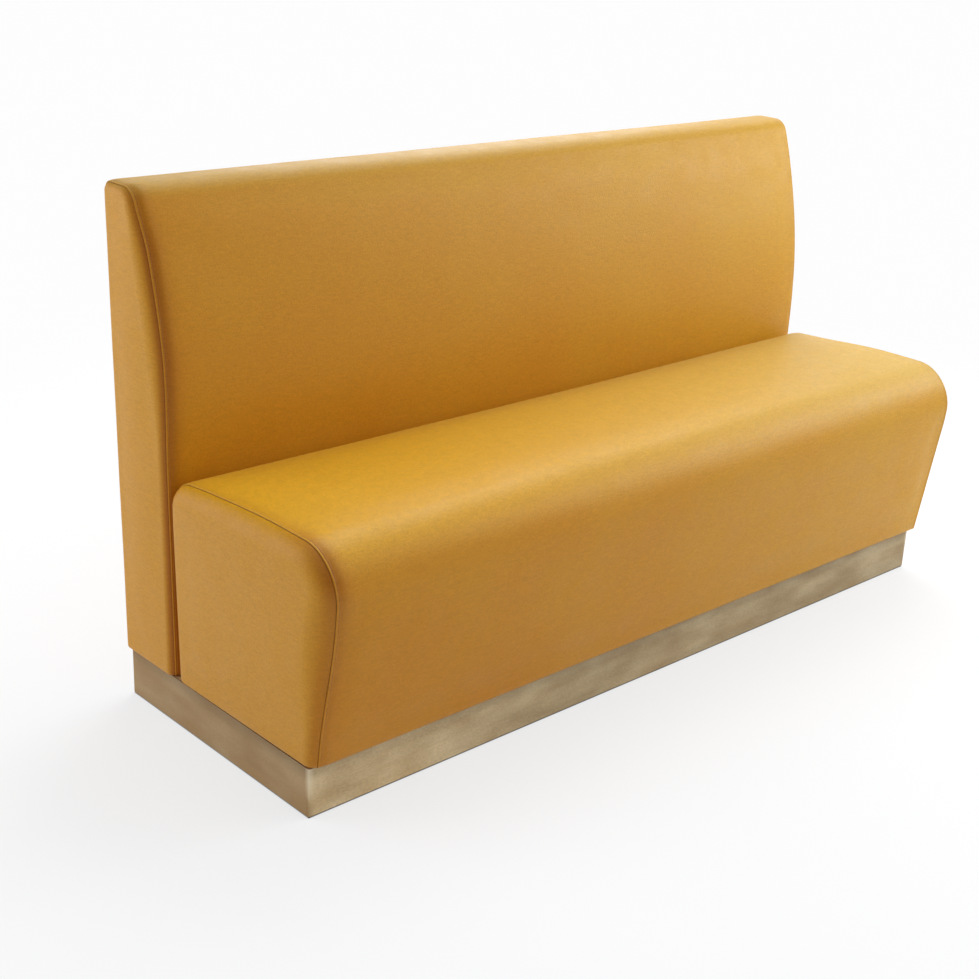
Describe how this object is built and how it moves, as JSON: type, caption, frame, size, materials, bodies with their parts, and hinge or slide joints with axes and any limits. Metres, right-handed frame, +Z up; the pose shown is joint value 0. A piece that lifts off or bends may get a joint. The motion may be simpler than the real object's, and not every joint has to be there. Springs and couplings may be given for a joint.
{
  "type": "restaurant booth seating",
  "caption": "Upholstered straight booth bench: curved leaning back, deep seat with a raked front and soft rounded nose, on a recessed-looking brushed metal clad plinth.",
  "frame": {"origin": "on the floor under the middle of the bench's overall box", "axes": "+X along the bench to the sitter's left, -Y the way the seat faces, +Z up"},
  "size_m": [1.6668, 0.5966, 0.928],
  "materials": {
    "leatherette": "satin",
    "foam": "matte",
    "plywood": "matte",
    "softwood": "matte",
    "brushed_sheet": "satin",
    "zinc_steel": "satin",
    "nylon": "matte"
  },
  "bodies": {
    "booth": {"seat_cover": "leatherette", "seat_end_cover_left": "leatherette", "seat_end_cover_right": "leatherette", "back_cover": "leatherette", "back_end_cover_left": "leatherette", "back_end_cover_right": "leatherette", "seat_top_foam": "foam", "seat_front_foam": "foam", "seat_end_foam_left": "foam", "seat_end_foam_right": "foam", "back_front_foam": "foam", "back_top_foam": "foam", "back_rear_foam": "foam", "back_end_foam_left": "foam", "back_end_foam_right": "foam", "seat_front_panel": "plywood", "seat_rear_panel": "plywood", "seat_end_panel_left": "plywood", "seat_end_panel_right": "plywood", "seat_ribs": "plywood", "seat_deck": "plywood", "back_end_rib_left": "plywood", "back_end_rib_right": "plywood", "back_ribs": "plywood", "back_top_rail": "plywood", "back_front_panel": "plywood", "back_rear_panel": "plywood", "plinth_front_rail": "softwood", "plinth_rear_rail": "softwood", "plinth_end_rail_left": "softwood", "plinth_end_rail_right": "softwood", "plinth_cross_rails": "softwood", "leveller_blocks": "softwood", "seat_front_rail": "softwood", "seat_rear_rail": "softwood", "back_bottom_rail": "softwood", "kick_wrap": "brushed_sheet", "rear_kick_plate": "brushed_sheet", "leveller_tee_nuts": "zinc_steel", "block_screws": "zinc_steel", "fixing_bolts": "zinc_steel", "fixing_washers": "zinc_steel", "deck_screws": "zinc_steel"},
    "leveller_front_left": {"leveller_stem_front_left": "zinc_steel", "leveller_pad_front_left": "nylon"},
    "leveller_front_middle": {"leveller_stem_front_middle": "zinc_steel", "leveller_pad_front_middle": "nylon"},
    "leveller_front_right": {"leveller_stem_front_right": "zinc_steel", "leveller_pad_front_right": "nylon"},
    "leveller_rear_left": {"leveller_stem_rear_left": "zinc_steel", "leveller_pad_rear_left": "nylon"},
    "leveller_rear_middle": {"leveller_stem_rear_middle": "zinc_steel", "leveller_pad_rear_middle": "nylon"},
    "leveller_rear_right": {"leveller_stem_rear_right": "zinc_steel", "leveller_pad_rear_right": "nylon"}
  },
  "joints": [
    {"name": "leveller_front_left_travel", "type": "slide", "parent": "booth", "child": "leveller_front_left", "axis": [0, 0, -1], "range_m": [0, 0.014]},
    {"name": "leveller_front_middle_travel", "type": "slide", "parent": "booth", "child": "leveller_front_middle", "axis": [0, 0, -1], "range_m": [0, 0.014]},
    {"name": "leveller_front_right_travel", "type": "slide", "parent": "booth", "child": "leveller_front_right", "axis": [0, 0, -1], "range_m": [0, 0.014]},
    {"name": "leveller_rear_left_travel", "type": "slide", "parent": "booth", "child": "leveller_rear_left", "axis": [0, 0, -1], "range_m": [0, 0.014]},
    {"name": "leveller_rear_middle_travel", "type": "slide", "parent": "booth", "child": "leveller_rear_middle", "axis": [0, 0, -1], "range_m": [0, 0.014]},
    {"name": "leveller_rear_right_travel", "type": "slide", "parent": "booth", "child": "leveller_rear_right", "axis": [0, 0, -1], "range_m": [0, 0.014]}
  ]
}
